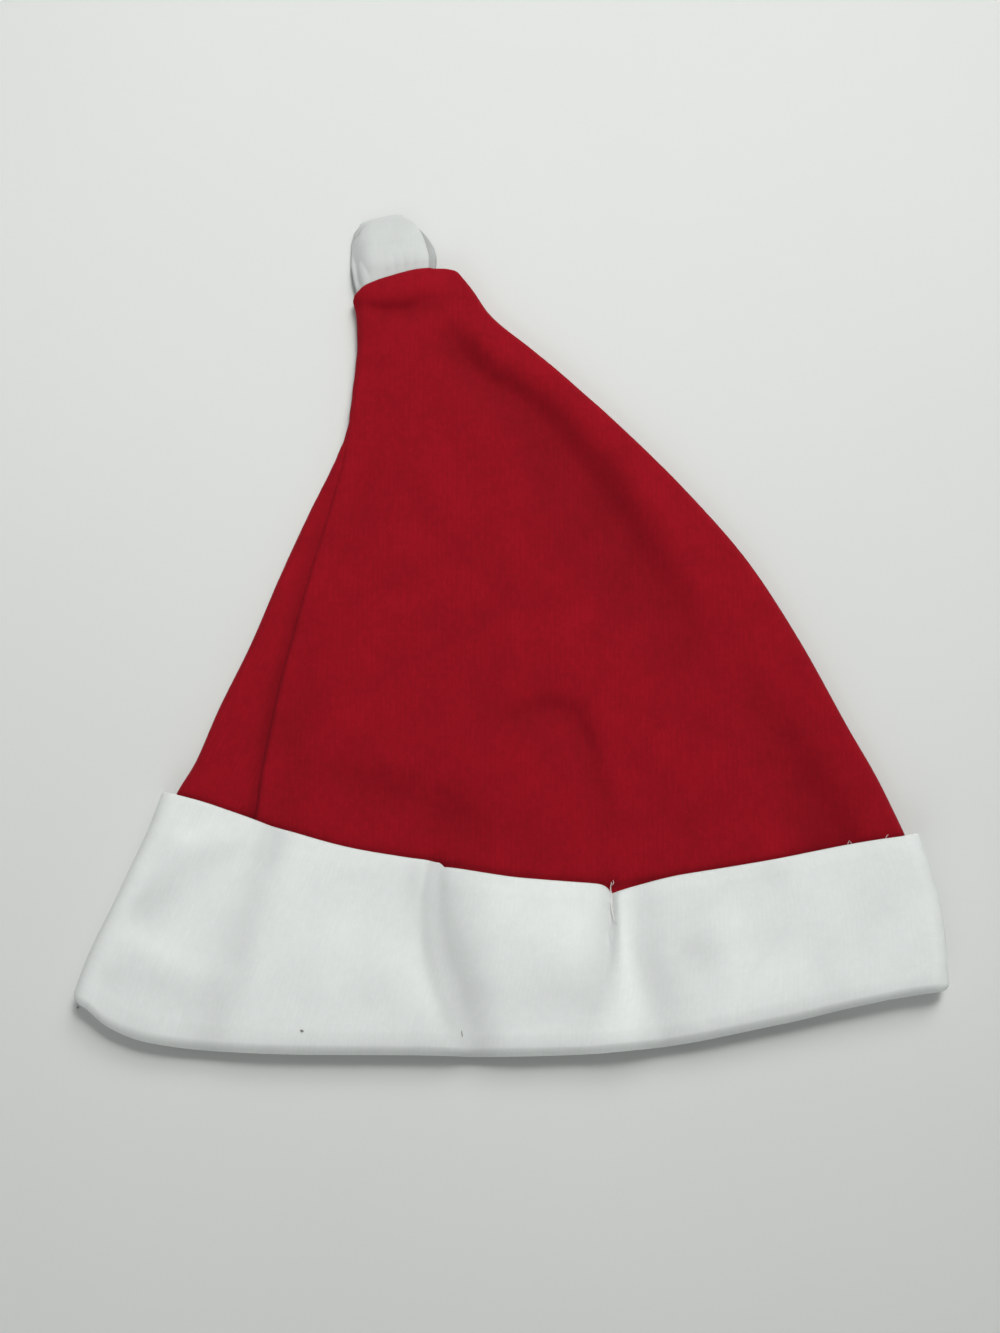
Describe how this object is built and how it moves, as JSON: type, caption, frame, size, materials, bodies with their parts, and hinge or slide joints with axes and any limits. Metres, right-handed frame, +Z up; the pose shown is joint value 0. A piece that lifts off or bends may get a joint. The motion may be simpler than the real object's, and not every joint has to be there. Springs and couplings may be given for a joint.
{
  "type": "infant santa hat",
  "caption": "Infant's Santa hat of red jersey lying flat, with a turned-up white cuff and a white loop at the tip.",
  "frame": {"origin": "centre of the bounding box, on the surface that the hat lies on", "axes": "+Z up out of that surface, +Y from the brim towards the tip, +X to the wearer's right as the back lies upwards"},
  "size_m": [0.1649, 0.1728, 0.0085],
  "materials": {
    "red_jersey": "matt red cotton interlock jersey, fine upright wales, slight fuzz",
    "white_jersey": "matt white cotton jersey, slightly cool, soft fuzz"
  },
  "bodies": {
    "root": {"body_back": "red_jersey", "body_front": "red_jersey", "cuff": "white_jersey", "tip_tab": "white_jersey"}
  },
  "joints": []
}
